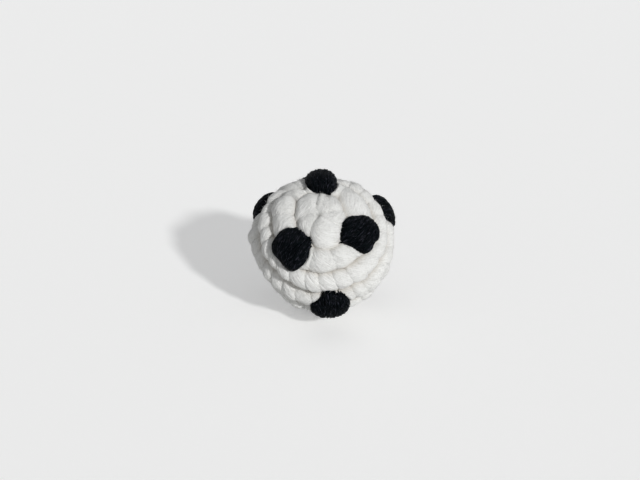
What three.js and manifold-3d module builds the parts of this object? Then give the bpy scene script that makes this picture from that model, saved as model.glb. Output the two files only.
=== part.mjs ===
// A mini soccer ball worked in thick yarn: a white cover of eight stitched rounds about a tilted pole,
// twelve domed black patches stitched over it, and a ball of fibre fill that holds the two yarn ends.
// Millimetres, +Z up. The origin is the point on the floor straight under the middle of the ball.
// Longitude 0 faces -Y and grows towards +X; latitude 90 is straight up.

import * as THREE from 'three';
import { mergeVertices } from 'three/addons/utils/BufferGeometryUtils.js';
import Module from 'manifold-3d';

const wasm = await Module();
wasm.setup();

// Overall form
const BALL_WIDTH = 60;
const BALL_HEIGHT = 56.7;
const SLUMP_DEPTH = 2.2;
const SLUMP_SPREAD = 17;
const SLUMP_LONGITUDE = -72;
const SLUMP_LATITUDE = -34;

// White yarn cover. A stitch has two fat legs of yarn side by side, which lie so close on the two rounds
// next to each pole that they show as one. A leg rises by the stitch depth from the creases around it, and
// the backing is the yarn between the creases and the fill. The roundness says how squarely a leg fills its
// place.
const STITCH_DEPTH = 2.6;
const COVER_BACKING = 4.9;
const LEG_LEAN = 3;
const ACROSS_ROUNDNESS = 2.3;
const ALONG_ROUNDNESS = 2.6;
const POLE_LONGITUDE = -3.5;
const POLE_LATITUDE = 48.5;

// The azimuths of so many creases at an even pitch, in degrees about the pole.
function evenCreases(count, first) {
  return Array.from({ length: count }, (_, crease) => first + (360 * crease) / count);
}

// The rounds from the starting pole to the closing pole. Their heights share out the way between the poles,
// and the creases are those between the legs that show.
const ROUNDS = [
  { height: 13, creases: [29, 89, 110, 172, 246, 331] },
  { height: 12.8, creases: [9, 59, 90, 117, 141, 171, 204, 232, 260, 291, 316, 342] },
  { height: 10.5, creases: evenCreases(24, 2.5) },
  { height: 11.2, creases: evenCreases(28, 6) },
  { height: 11.2, creases: evenCreases(28, 0) },
  { height: 10.7, creases: evenCreases(24, 7) },
  { height: 11.5, creases: evenCreases(12, 11) },
  { height: 13, creases: [25, 84, 150, 211, 269, 329] },
];

// Black patches. The middle rises above the legs' crowns, the rim lies below them, and the underside
// bites into the yarn below the creases. Length and width are measured along the ball.
const PATCH_LENGTH = 17;
const PATCH_WIDTH = 15.6;
const PATCH_RISE = 3;
const PATCH_RIM_DROP = 0.6;
const PATCH_BITE = 0.6;
const PATCH_DOME_FLATNESS = 2.4;
const PATCH_DOME_EDGE = 0.6;
const PATCH_CORNER_RISE = 0.5;
const PATCH_CORNERS = 5;

function patchSpec(name, longitude, latitude, longer, wider, taller, turn, corner) {
  return { name, longitude, latitude, longer, wider, taller, turn, corner };
}

// Longitude and latitude of the middle, shares of the usual length, width and rise, and how far the length
// and one of the corners are turned from east towards north
const PATCHES = [
  patchSpec('front_left', -26.6, 17.9, 1.04, 1.04, 1, 90, -83),
  patchSpec('front_right', 37.8, 27.4, 1.05, 0.97, 1, 25, -12),
  patchSpec('top', -90, 88.9, 1.09, 0.88, 1.3, 180, 255),
  patchSpec('lower_front', 8.8, -35.5, 0.98, 1.2, 1.35, 0, 108),
  patchSpec('left', -113.8, 24.9, 0.97, 0.97, 1.12, 60, 60),
  patchSpec('right', 108.6, 23.7, 1.08, 0.97, 1.12, 110, 20),
  patchSpec('foot', 0, -90, 0.97, 0.98, 1, 20, 20),
  patchSpec('rear_right', 151, -1.2, 0.97, 0.97, 1, 35, 50),
  patchSpec('lower_left', -113, -30.2, 0.94, 0.94, 0.9, 80, 0),
  patchSpec('lower_right', 111.4, -37.3, 0.95, 0.95, 0.9, 140, 30),
  patchSpec('upper_rear', -170.8, 33, 1, 0.97, 1.1, 15, 90),
  patchSpec('lower_rear', -172, -35.9, 0.96, 0.96, 1, 120, 70),
];
const FOOT = PATCHES.find((patch) => patch.name === 'foot');
const FOOT_PRESS = 0.9;

// The two yarn ends tucked into the fill
const TAIL_DIAMETER = 3.2;
const TAIL_LENGTH = 17;
const TAIL_BEND = 5;

const CLEARANCE = 0.3;

// Where faces meet on a leg, from one crease to the next, and on the other bodies
const LEG_COLUMNS = [-1, -0.4, 0.4];
const WIDE_LEG_COLUMNS = [-1, -0.6, -0.2, 0.2, 0.6];
const WIDE_LEG_PITCH = 20;
const LEG_ROWS = [-1, -0.62, 0, 0.62, 1];
const PATCH_SIDES = 16;
const PATCH_RINGS = [0.45, 0.78, 1];
const FILL_SIDES = 24;
const TAIL_STEPS = 8;
const TAIL_SIDES = 10;

const crownRadius = BALL_WIDTH / 2;
const creaseRadius = crownRadius - STITCH_DEPTH;
const innerRadius = creaseRadius - COVER_BACKING;
const fillRadius = innerRadius - CLEARANCE;
const patchTopRadius = (patch) => crownRadius + PATCH_RISE * patch.taller;
const patchRimRadius = crownRadius - PATCH_RIM_DROP;
const patchSeatRadius = creaseRadius - PATCH_BITE;
const centreHeight = patchTopRadius(FOOT) * (BALL_HEIGHT / BALL_WIDTH) - FOOT_PRESS;
const centre = new THREE.Vector3(0, 0, centreHeight);

const radians = THREE.MathUtils.degToRad;

const whiteYarn = new THREE.MeshStandardMaterial({ color: 0xe9e7e0, roughness: 0.95, metalness: 0 });
const blackYarn = new THREE.MeshStandardMaterial({ color: 0x0c0d12, roughness: 0.8, metalness: 0 });
const fibreFill = new THREE.MeshStandardMaterial({ color: 0xf1efe8, roughness: 1, metalness: 0 });

// The unit vectors out, east and north at a place on the ball.
function frameAt(longitude, latitude) {
  const lon = radians(longitude);
  const lat = radians(latitude);
  return {
    out: new THREE.Vector3(Math.sin(lon) * Math.cos(lat), -Math.cos(lon) * Math.cos(lat), Math.sin(lat)),
    east: new THREE.Vector3(Math.cos(lon), Math.sin(lon), 0),
    north: new THREE.Vector3(-Math.sin(lon) * Math.sin(lat), Math.cos(lon) * Math.sin(lat), Math.cos(lat)),
  };
}

// The direction at an angle away from a frame's outward axis, at an azimuth from east towards north.
function directionFrom(frame, angle, azimuth) {
  return frame.out.clone().multiplyScalar(Math.cos(angle))
    .addScaledVector(frame.east, Math.sin(angle) * Math.cos(azimuth))
    .addScaledVector(frame.north, Math.sin(angle) * Math.sin(azimuth));
}

const slumpAxis = frameAt(SLUMP_LONGITUDE, SLUMP_LATITUDE).out;

// The ball is a little lower than it is wide and slumps in on one side. A radius given for a plain
// sphere is multiplied by this share in each direction.
function formShare(direction) {
  const stretchedHeight = direction.z * (BALL_WIDTH / BALL_HEIGHT);
  const squashed = 1 / Math.hypot(direction.x, direction.y, stretchedHeight);
  const away = direction.angleTo(slumpAxis) / radians(SLUMP_SPREAD);
  return squashed * (1 - (SLUMP_DEPTH / crownRadius) * Math.exp(-0.5 * away * away));
}

function pointAt(direction, radius) {
  return direction.clone().multiplyScalar(radius * formShare(direction)).add(centre);
}

// A closed body from rings of points, where each ring meets the next and the last meets the first. A ring
// of one point is a pole.
function bodyFromRings(rings) {
  const positions = [];
  const starts = [];
  for (const ring of rings) {
    starts.push(positions.length / 3);
    ring.forEach((point) => positions.push(point.x, point.y, point.z));
  }
  const index = [];
  for (let band = 0; band < rings.length; band += 1) {
    const next = (band + 1) % rings.length;
    const count = Math.max(rings[band].length, rings[next].length);
    for (let side = 0; side < count; side += 1) {
      const after = (side + 1) % count;
      const a = starts[band] + (rings[band].length === 1 ? 0 : side);
      const b = starts[band] + (rings[band].length === 1 ? 0 : after);
      const c = starts[next] + (rings[next].length === 1 ? 0 : side);
      const d = starts[next] + (rings[next].length === 1 ? 0 : after);
      if (a !== b) index.push(a, c, b);
      if (c !== d) index.push(b, c, d);
    }
  }
  const geometry = new THREE.BufferGeometry();
  geometry.setAttribute('position', new THREE.Float32BufferAttribute(positions, 3));
  geometry.setIndex(index);
  return geometry;
}

function toSolid(geometry) {
  const bare = geometry.clone();
  bare.deleteAttribute('normal');
  bare.deleteAttribute('uv');
  const merged = mergeVertices(bare, 1e-4);
  return new wasm.Manifold(new wasm.Mesh({
    numProp: 3,
    vertProperties: new Float32Array(merged.attributes.position.array),
    triVerts: new Uint32Array(merged.index.array),
  }));
}

function toGeometry(solid) {
  const mesh = solid.getMesh();
  const geometry = new THREE.BufferGeometry();
  geometry.setAttribute('position', new THREE.BufferAttribute(new Float32Array(mesh.vertProperties), 3));
  geometry.setIndex(new THREE.BufferAttribute(new Uint32Array(mesh.triVerts), 1));
  geometry.computeVertexNormals();
  return geometry;
}

function namedMesh(name, geometry, material) {
  const mesh = new THREE.Mesh(geometry, material);
  mesh.name = name;
  return mesh;
}

// White cover. Each leg is a pillow that rises from the creases around it and leans a little along its
// round. A round lies between two cones about the pole, half a clearance inside each of them.

const pole = frameAt(POLE_LONGITUDE, POLE_LATITUDE);
const wholeHeight = ROUNDS.reduce((sum, round) => sum + round.height, 0);
const roundEdges = [0];
ROUNDS.forEach((round, place) => {
  roundEdges.push(roundEdges[place] + (Math.PI * round.height) / wholeHeight);
});

function swell(share, roundness) {
  return (1 - Math.abs(share) ** roundness) ** (1 / roundness);
}

function legRadius(across, along) {
  return creaseRadius + STITCH_DEPTH * swell(across, ACROSS_ROUNDNESS) * swell(along, ALONG_ROUNDNESS);
}

function yarnRound(place) {
  const { creases } = ROUNDS[place];
  const opensAtPole = place === 0;
  const closesAtPole = place === ROUNDS.length - 1;
  const gapAngle = CLEARANCE / 2 / innerRadius;
  const start = roundEdges[place] + (opensAtPole ? 0 : gapAngle);
  const end = roundEdges[place + 1] - (closesAtPole ? 0 : gapAngle);
  const middle = (start + end) / 2;
  const halfSpan = (end - start) / 2;
  const columns = [];
  creases.forEach((crease, leg) => {
    const pitch = (creases[leg + 1] ?? creases[0] + 360) - crease;
    const shares = pitch > WIDE_LEG_PITCH ? WIDE_LEG_COLUMNS : LEG_COLUMNS;
    shares.forEach((across) => columns.push({ across, azimuth: crease + (pitch * (across + 1)) / 2 }));
  });
  const ringAt = (along, radiusOf) => columns.map((column) => {
    const { across } = column;
    const azimuth = radians(column.azimuth + LEG_LEAN * along);
    return pointAt(directionFrom(pole, middle + halfSpan * along, azimuth), radiusOf(across));
  });
  const poleAt = (angle, radius) => [pointAt(directionFrom(pole, angle, 0), radius)];

  // The inner face is flat between its rings, so its radius is eased out by the sagitta of one facet.
  const easedInner = innerRadius / Math.cos(halfSpan / 2);
  const rings = [];
  LEG_ROWS.forEach((along) => {
    const atPole = (opensAtPole && along === -1) || (closesAtPole && along === 1);
    if (atPole) rings.push(poleAt(middle + halfSpan * along, creaseRadius));
    else rings.push(ringAt(along, (across) => legRadius(across, along)));
  });
  if (closesAtPole) rings.push(poleAt(end, easedInner));
  else rings.push(ringAt(1, () => easedInner));
  rings.push(ringAt(0, () => easedInner));
  if (opensAtPole) rings.push(poleAt(start, easedInner));
  else rings.push(ringAt(-1, () => easedInner));
  return bodyFromRings(rings);
}

// Black patches. The outline is an oval with five soft corners, the top is a low dome, and the underside
// follows the ball. The same shape, grown by the clearance, hollows the rounds under it.

function patchBody(patch, grow, topRadius, rimRadius, seatRadius) {
  const spot = frameAt(patch.longitude, patch.latitude);
  const halfLength = (PATCH_LENGTH * patch.longer) / 2;
  const halfWidth = (PATCH_WIDTH * patch.wider) / 2;
  const rimAngleAt = (azimuth) => {
    const turned = azimuth - radians(patch.turn);
    const oval = 1 / Math.hypot(Math.cos(turned) / halfLength, Math.sin(turned) / halfWidth);
    const corner = PATCH_CORNER_RISE * Math.cos(PATCH_CORNERS * (azimuth - radians(patch.corner)));
    return (oval + corner + grow) / crownRadius;
  };
  const ringAt = (share, radius) => {
    const points = [];
    for (let side = 0; side < PATCH_SIDES; side += 1) {
      const azimuth = (2 * Math.PI * side) / PATCH_SIDES;
      points.push(pointAt(directionFrom(spot, share * rimAngleAt(azimuth), azimuth), radius));
    }
    return points;
  };
  const domeShare = (share) => (1 - share ** PATCH_DOME_FLATNESS) ** PATCH_DOME_EDGE;
  const domeRadius = (share) => rimRadius + (topRadius - rimRadius) * domeShare(share);
  const rings = [[pointAt(spot.out, topRadius)]];
  PATCH_RINGS.forEach((share) => rings.push(ringAt(share, domeRadius(share))));
  rings.push(ringAt(1, seatRadius));
  rings.push([pointAt(spot.out, seatRadius)]);
  return bodyFromRings(rings);
}

function patchHollow(patch) {
  const clearOfAll = patchTopRadius(patch) + PATCH_RISE;
  return toSolid(patchBody(patch, CLEARANCE, clearOfAll, clearOfAll, patchSeatRadius - CLEARANCE));
}

// What lies under the floor is cut off the foot patch, which leaves the flat that the ball rests on.
function belowFloor() {
  const slab = new THREE.BoxGeometry(2 * BALL_WIDTH, 2 * BALL_WIDTH, BALL_WIDTH);
  slab.translate(0, 0, -BALL_WIDTH / 2);
  return toSolid(slab);
}

// Fill and yarn ends. Each end leaves the middle of a closing round and bends aside in its own channel.

function tailPath(outward, sideways, startDepth, endDepth) {
  const outer = fillRadius * formShare(outward);
  const points = [];
  for (let step = 0; step <= TAIL_STEPS; step += 1) {
    const depth = startDepth + (endDepth - startDepth) * (step / TAIL_STEPS);
    const aside = TAIL_BEND * (Math.max(depth, 0) / TAIL_LENGTH) ** 2;
    const point = outward.clone().multiplyScalar(outer - depth);
    points.push(point.addScaledVector(sideways, aside).add(centre));
  }
  return new THREE.CatmullRomCurve3(points);
}

function tailBody(path, diameter) {
  const section = new THREE.Shape();
  for (let side = 0; side < TAIL_SIDES; side += 1) {
    const angle = (2 * Math.PI * side) / TAIL_SIDES;
    const x = (diameter / 2) * Math.cos(angle);
    const y = (diameter / 2) * Math.sin(angle);
    if (side === 0) section.moveTo(x, y);
    else section.lineTo(x, y);
  }
  section.closePath();
  return new THREE.ExtrudeGeometry(section, { steps: TAIL_STEPS, extrudePath: path, bevelEnabled: false });
}

const tails = [
  { name: 'starting_tail', outward: pole.out.clone(), sideways: pole.east.clone() },
  { name: 'closing_tail', outward: pole.out.clone().negate(), sideways: pole.north.clone() },
];

function fillBody() {
  const ball = new THREE.SphereGeometry(1, FILL_SIDES, FILL_SIDES / 2);
  const place = ball.attributes.position;
  for (let vertex = 0; vertex < place.count; vertex += 1) {
    const point = pointAt(new THREE.Vector3().fromBufferAttribute(place, vertex).normalize(), fillRadius);
    place.setXYZ(vertex, point.x, point.y, point.z);
  }
  let fill = toSolid(ball);
  tails.forEach(({ outward, sideways }) => {
    const channel = tailPath(outward, sideways, -TAIL_DIAMETER, TAIL_LENGTH + CLEARANCE);
    fill = fill.subtract(toSolid(tailBody(channel, TAIL_DIAMETER + 2 * CLEARANCE)));
  });
  return toGeometry(fill);
}

const ball = new THREE.Group();
ball.name = 'mini_soccer_ball';

const hollows = PATCHES.map(patchHollow);
ROUNDS.forEach((round, place) => {
  let solid = toSolid(yarnRound(place));
  hollows.forEach((hollow) => {
    solid = solid.subtract(hollow);
  });
  ball.add(namedMesh(`yarn_round_${place + 1}`, toGeometry(solid), whiteYarn));
});

const floorCut = belowFloor();
PATCHES.forEach((patch) => {
  const whole = toSolid(patchBody(patch, 0, patchTopRadius(patch), patchRimRadius, patchSeatRadius));
  ball.add(namedMesh(`patch_${patch.name}`, toGeometry(whole.subtract(floorCut)), blackYarn));
});

ball.add(namedMesh('stuffing', fillBody(), fibreFill));
tails.forEach(({ name, outward, sideways }) => {
  const tail = toSolid(tailBody(tailPath(outward, sideways, 0, TAIL_LENGTH), TAIL_DIAMETER));
  ball.add(namedMesh(name, toGeometry(tail), whiteYarn));
});

export default ball;
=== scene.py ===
"""A mini soccer ball worked in thick white yarn, with twelve black patches stitched over it.

Metres, +Z up. The ball stands on the floor at the origin, and the side that the camera sees faces -Y.
"""

import math

import bpy
import numpy as np
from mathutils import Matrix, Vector


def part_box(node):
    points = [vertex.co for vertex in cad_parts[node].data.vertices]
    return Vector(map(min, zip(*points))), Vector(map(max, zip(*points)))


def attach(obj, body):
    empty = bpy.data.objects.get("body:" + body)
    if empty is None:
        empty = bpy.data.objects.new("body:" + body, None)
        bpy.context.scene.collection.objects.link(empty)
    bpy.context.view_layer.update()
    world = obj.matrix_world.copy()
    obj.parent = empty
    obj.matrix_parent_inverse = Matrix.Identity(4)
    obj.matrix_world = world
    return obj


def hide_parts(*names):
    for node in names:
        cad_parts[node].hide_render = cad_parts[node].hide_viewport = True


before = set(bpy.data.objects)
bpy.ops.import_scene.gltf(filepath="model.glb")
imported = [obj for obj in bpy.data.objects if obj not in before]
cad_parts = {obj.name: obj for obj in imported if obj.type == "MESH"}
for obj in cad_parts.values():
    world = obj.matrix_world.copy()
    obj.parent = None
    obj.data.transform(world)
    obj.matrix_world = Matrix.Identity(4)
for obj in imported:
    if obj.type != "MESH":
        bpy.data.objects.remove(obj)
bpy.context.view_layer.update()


# The view. The camera looks at the ball from the front and above. Its aim lies a little to the left of and
# above the middle of the ball, so that the ball stands where the photograph has it.

MM = 0.001
fill_low, fill_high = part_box("stuffing")
BALL_CENTRE = np.array([0, 0, (fill_low.z + fill_high.z) / 2])

CAMERA_DISTANCE = 516.5 * MM
CAMERA_ELEVATION = math.radians(25)
CAMERA_LENS = 70.1
SENSOR_WIDTH = 36
AIM_LEFT = 0.95 * MM
AIM_ABOVE = 1.45 * MM

towards_camera = Vector((0, -math.cos(CAMERA_ELEVATION), math.sin(CAMERA_ELEVATION)))
camera_up = Vector((0, math.sin(CAMERA_ELEVATION), math.cos(CAMERA_ELEVATION)))
camera_place = Vector(BALL_CENTRE) + towards_camera * CAMERA_DISTANCE
aim = Vector(BALL_CENTRE) - Vector((AIM_LEFT, 0, 0)) + camera_up * AIM_ABOVE

camera = bpy.data.objects.new("camera", bpy.data.cameras.new("camera"))
camera.data.lens = CAMERA_LENS
camera.data.sensor_width = SENSOR_WIDTH
camera.location = camera_place
camera.rotation_euler = (aim - camera_place).to_track_quat("-Z", "Y").to_euler()
bpy.context.scene.collection.objects.link(camera)
bpy.context.scene.camera = camera
bpy.context.scene.view_settings.view_transform = "Standard"


# The stuffing. It is loose fibre fill, packed by hand into the cover before the last round is drawn shut, so
# it is a soft, lumpy ball. A narrow channel at each pole holds the yarn end that was left or drawn in there.
# Every piece is placed by a direction from the middle of the ball and a radius on a plain sphere.

BALL_WIDTH = 60 * MM
BALL_HEIGHT = 56.7 * MM
CROWN_RADIUS = BALL_WIDTH / 2
SLUMP_DEPTH = 2.2 * MM
SLUMP_SPREAD = math.radians(17)
SLUMP_LONGITUDE = -72
SLUMP_LATITUDE = -34
NOISE_WAVES = 14
NOISE_GAIN = 2.2
MAP_SHIFT = 7


def frame_at(longitude, latitude):
    """The unit vectors out, east and north at a place on the ball. Longitude 0 faces -Y and grows to +X."""
    lon, lat = math.radians(longitude), math.radians(latitude)
    out = np.array([math.sin(lon) * math.cos(lat), -math.cos(lon) * math.cos(lat), math.sin(lat)])
    east = np.array([math.cos(lon), math.sin(lon), 0])
    return out, east, np.cross(out, east)


def turned_away(spot, angle, azimuth):
    """Directions at an angle from a spot's outward axis: its cosine outwards, its sine along the azimuth."""
    out, east, north = spot
    sideways = np.cos(azimuth)[..., None] * east + np.sin(azimuth)[..., None] * north
    return np.cos(angle)[..., None] * out + np.sin(angle)[..., None] * sideways


def unit(vectors):
    """The vectors, each divided by its length."""
    return vectors / np.linalg.norm(vectors, axis=-1, keepdims=True)


slump_axis = frame_at(SLUMP_LONGITUDE, SLUMP_LATITUDE)[0]


def form_share(direction):
    """The ball's radius over a plain sphere's: an ellipsoid's, less a bell-shaped dip at the slump axis."""
    stretched = direction * np.array([1, 1, BALL_WIDTH / BALL_HEIGHT])
    away = np.arccos(np.clip(direction @ slump_axis, -1, 1)) / SLUMP_SPREAD
    dip = SLUMP_DEPTH / CROWN_RADIUS * np.exp(-0.5 * away**2)
    return (1 - dip) / np.linalg.norm(stretched, axis=-1)


def on_ball(direction, radius):
    """The point in a direction from the middle, at a radius times the form's share there."""
    return BALL_CENTRE + direction * (radius * form_share(direction))[..., None]


def smooth_noise(points, size, seed):
    """Soft random swells, about -1 to 1: the mean of waves of one length in random directions and phases,
    times a gain."""
    rng = np.random.default_rng(seed)
    waves = unit(rng.normal(size=(NOISE_WAVES, 3))) * (2 * math.pi / size)
    phases = rng.uniform(0, 2 * math.pi, NOISE_WAVES)
    return np.sin(points @ waves.T + phases).mean(axis=-1) * NOISE_GAIN


class Shells:
    """Closed tubes gathered into one mesh. Its pattern map counts millimetres along a tube and plies around
    it, and each point keeps how many millimetres below the ball's crown it lies."""

    def __init__(self):
        self.points = []
        self.point_count = 0
        self.quads, self.quad_maps = [], []
        self.triangles, self.triangle_maps = [], []

    def add_points(self, points):
        """Keeps the points, and returns the number of the first."""
        flat = points.reshape(-1, 3)
        self.points.append(flat)
        start = self.point_count
        self.point_count += len(flat)
        return start

    def add_tubes(self, points, length, plies_per_side=1.0):
        """Tubes of rings of points, with each ring's length along its tube."""
        shape = points.shape[:3]
        start = self.add_points(points)
        middles = self.add_points(points[:, [0, -1]].mean(axis=2))
        self.add_walls(shape, start, length, plies_per_side)
        self.add_ends(shape, start, middles, length, plies_per_side)

    def add_walls(self, shape, start, length, plies_per_side):
        """Four-sided faces between each ring and the next. Each tube's map starts a few turns further on, so
        that no two tubes show the same pattern."""
        tubes, rings, sides = shape
        tube, ring, side = np.indices((tubes, rings - 1, sides))
        corner_tubes = np.stack([tube, tube, tube, tube], axis=-1)
        corner_rings = np.stack([ring, ring + 1, ring + 1, ring], axis=-1)
        corner_sides = np.stack([side, side, side + 1, side + 1], axis=-1)
        corners = start + (corner_tubes * rings + corner_rings) * sides + corner_sides % sides
        along = length[corner_tubes, corner_rings] / MM
        around = (corner_sides + MAP_SHIFT * sides * corner_tubes) * plies_per_side
        self.quads.append(corners.reshape(-1, 4))
        self.quad_maps.append(np.stack([along, around], axis=-1).reshape(-1, 2))

    def add_ends(self, shape, start, middles, length, plies_per_side):
        """A fan of triangles about the middle of each tube's first ring and of its last."""
        tubes, rings, sides = shape
        tube, end, side = np.indices((tubes, 2, sides))
        ring = end * (rings - 1)
        ring_start = start + (tube * rings + ring) * sides
        first = ring_start + (side + end) % sides
        second = ring_start + (side + 1 - end) % sides
        middle = middles + tube * 2 + end
        along = np.stack([length[tube, ring] / MM] * 3, axis=-1)
        around = np.stack([side, side + 1.0, side + 0.5], axis=-1) * plies_per_side
        self.triangles.append(np.stack([first, second, middle], axis=-1).reshape(-1, 3))
        self.triangle_maps.append(np.stack([along, around], axis=-1).reshape(-1, 2))

    def make(self, name, material, reshape=None):
        """The mesh object. reshape, where given, moves all its points first."""
        points = np.concatenate(self.points)
        if reshape:
            points = reshape(points)
        quads = np.concatenate(self.quads)
        triangles = np.concatenate(self.triangles)
        corners = np.concatenate([quads.ravel(), triangles.ravel()])
        sizes = np.concatenate([np.full(len(quads), 4), np.full(len(triangles), 3)])
        maps = np.concatenate(self.quad_maps + self.triangle_maps)
        offset = points - BALL_CENTRE
        depth = CROWN_RADIUS - np.linalg.norm(offset, axis=-1) / form_share(unit(offset))

        mesh = bpy.data.meshes.new(name)
        mesh.vertices.add(len(points))
        mesh.vertices.foreach_set("co", points.astype(np.float32).ravel())
        mesh.loops.add(len(corners))
        mesh.loops.foreach_set("vertex_index", corners.astype(np.int32))
        mesh.polygons.add(len(sizes))
        mesh.polygons.foreach_set("loop_start", (np.cumsum(sizes) - sizes).astype(np.int32))
        mesh.update(calc_edges=True)
        mesh.uv_layers.new(name="yarn").data.foreach_set("uv", maps.astype(np.float32).ravel())
        depths = mesh.attributes.new("depth", "FLOAT", "POINT")
        depths.data.foreach_set("value", (depth / MM).astype(np.float32))
        mesh.shade_smooth()
        mesh.validate()
        mesh.materials.append(material)
        made = bpy.data.objects.new(name, mesh)
        bpy.context.scene.collection.objects.link(made)
        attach(made, "root")
        return made


class Shade:
    """A socket in a material, with arithmetic that adds Math nodes."""

    def __init__(self, paint, source):
        self.paint, self.source = paint, source

    def _math(self, operation, *values):
        """A Math node that works on the values."""
        return self.paint.node("ShaderNodeMath", {"operation": operation}, dict(enumerate(values)))

    def __add__(self, other):
        return self._math("ADD", self, other)

    def __radd__(self, other):
        return self._math("ADD", other, self)

    def __sub__(self, other):
        return self._math("SUBTRACT", self, other)

    def __rsub__(self, other):
        return self._math("SUBTRACT", other, self)

    def __mul__(self, other):
        return self._math("MULTIPLY", self, other)

    def __rmul__(self, other):
        return self._math("MULTIPLY", other, self)

    def wave(self):
        """The distance to the nearest whole number, 0 to 0.5."""
        return self._math("PINGPONG", self, 0.5)

    def centred(self):
        """A noise of 0 to 1, moved to lie about 0."""
        return self - 0.5


class Paint:
    """A new node material, or world, whose shader has its constants set straight on its sockets."""

    def __init__(self, name, family=bpy.data.materials, shader="Principled BSDF", **constants):
        self.material = family.new(name)
        self.material.use_nodes = True
        self.tree = self.material.node_tree
        self.shader = self.tree.nodes[shader]
        for socket, value in constants.items():
            self.shader.inputs[socket.replace("_", " ")].default_value = value

    def node(self, kind, settings=None, values=None, output=0):
        """A node of any kind: its settings are set first, then the values or links of its sockets."""
        made = self.tree.nodes.new(kind)
        for key, value in (settings or {}).items():
            setattr(made, key, value)
        for socket, value in (values or {}).items():
            if isinstance(value, Shade):
                self.tree.links.new(value.source, made.inputs[socket])
            else:
                made.inputs[socket].default_value = value
        return Shade(self, made.outputs[output])

    def feed(self, socket, shade):
        """Links a shade to one of the shader's own sockets."""
        self.tree.links.new(shade.source, self.shader.inputs[socket])

    def emboss(self, height, strength, distance):
        """Feeds the shader's normal with a relief."""
        values = {"Strength": strength, "Distance": distance, "Height": height}
        self.feed("Normal", self.node("ShaderNodeBump", {}, values))

    def parts(self, vector):
        """The three parts of a vector."""
        split = self.node("ShaderNodeSeparateXYZ", {}, {0: vector})
        return [Shade(self, output) for output in split.source.node.outputs]

    def vector(self, x, y, z):
        """A vector of three parts."""
        return self.node("ShaderNodeCombineXYZ", {}, {0: x, 1: y, 2: z})

    def noise(self, vector, scale, detail, roughness=0.5):
        """Soft random values, 0 to 1, with so many swells to a unit of the vector."""
        values = {"Vector": vector, "Scale": scale, "Detail": detail, "Roughness": roughness}
        return self.node("ShaderNodeTexNoise", {}, values)

    def ramp(self, value, zero, one):
        """A smooth step between the value where it is 0 and the value where it is 1."""
        values = {"Value": value, "From Min": zero, "From Max": one}
        return self.node("ShaderNodeMapRange", {"interpolation_type": "SMOOTHSTEP"}, values)

    def mix(self, share, first, second):
        """A colour between two. A Mix node takes colours at sockets 6 and 7, and gives one at output 2."""
        return self.node("ShaderNodeMix", {"data_type": "RGBA"}, {0: share, 6: first, 7: second}, output=2)


FILL_RADIUS = 22.2 * MM
FILL_SIDES = 72
FILL_RINGS = 90
FILL_MAP_LENGTH = 100 * MM
FILL_SKIN_SHARE = 0.93
CHANNEL_RADIUS = 1.9 * MM
CHANNEL_DEPTH = 17.3 * MM
CHANNEL_TOP = 0.6 * MM
CHANNEL_RINGS = 12
CHANNEL_MOUTH = 0.13
TAIL_LENGTH = 17 * MM
TAIL_BEND = 5 * MM
POLE = frame_at(-3.5, 48.5)
ANTIPOLE = (-POLE[0], POLE[2], POLE[1])

# The tufts that swell the fill: how deep and how wide each size is, and its seed.
TUFTS = [(0.7 * MM, 12 * MM, 1), (0.4 * MM, 5 * MM, 2), (0.2 * MM, 2 * MM, 3)]


def tail_path(pole, depth):
    """Points down from the fill's surface at a pole, that bend aside with the square of the depth."""
    outward, sideways, _ = pole
    straight = outward * (FILL_RADIUS * form_share(outward) - depth)[..., None]
    return BALL_CENTRE + straight + sideways * (TAIL_BEND * (depth / TAIL_LENGTH) ** 2)[..., None]


def lumpy(points):
    """The surface pressed in by the swells of each size, and the channels left as they are."""
    swell = sum(depth * (1 + smooth_noise(points, size, seed)) / 2 for depth, size, seed in TUFTS)
    offset = points - BALL_CENTRE
    outer = np.linalg.norm(offset, axis=-1) > FILL_SKIN_SHARE * FILL_RADIUS * form_share(unit(offset))
    return points - unit(offset) * (swell * outer)[:, None]


def fibre_ball(material):
    """Rings about the poles: up out of one channel, over the ball, and down into the other."""
    azimuth = np.linspace(0, 2 * math.pi, FILL_SIDES, endpoint=False)
    circle = np.cos(azimuth)[:, None] * POLE[1] + np.sin(azimuth)[:, None] * POLE[2]
    depth = np.linspace(CHANNEL_DEPTH, CHANNEL_TOP, CHANNEL_RINGS)
    down = tail_path(POLE, depth)[:, None] + CHANNEL_RADIUS * circle
    up = tail_path(ANTIPOLE, depth[::-1])[:, None] + CHANNEL_RADIUS * circle
    angle = np.linspace(CHANNEL_MOUTH, math.pi - CHANNEL_MOUTH, FILL_RINGS)[:, None] + 0 * azimuth
    over = on_ball(turned_away(POLE, angle, azimuth + 0 * angle), FILL_RADIUS + 0 * angle)
    points = np.concatenate([down, over, up])
    length = np.linspace(0, FILL_MAP_LENGTH, len(points))
    fill = Shells()
    fill.add_tubes(points[None], length[None])
    return fill.make("fibre_stuffing", material, lumpy)


FIBRE_LIGHT = (0.9, 0.89, 0.86, 1)
FIBRE_DARK = (0.74, 0.73, 0.7, 1)

fibre_paint = Paint("fibre_fill", Roughness=0.95, Sheen_Weight=0.3, Specular_IOR_Level=0.15)
fibre_place = fibre_paint.node("ShaderNodeTexCoord", output="Object")
wisps = fibre_paint.noise(fibre_place, scale=900.0, detail=4.0, roughness=0.65)
fibre_paint.feed("Base Color", fibre_paint.mix(wisps, FIBRE_LIGHT, FIBRE_DARK))
fibre_paint.emboss(wisps, strength=0.6, distance=0.2 * MM)

stuffing = fibre_ball(fibre_paint.material)
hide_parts("stuffing")


# The two yarn ends. They are the same white cotton yarn as the cover, a soft twisted cord of many plies. One
# was left from the first round and the other drew the last round shut; both are buried in the fill.

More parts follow.
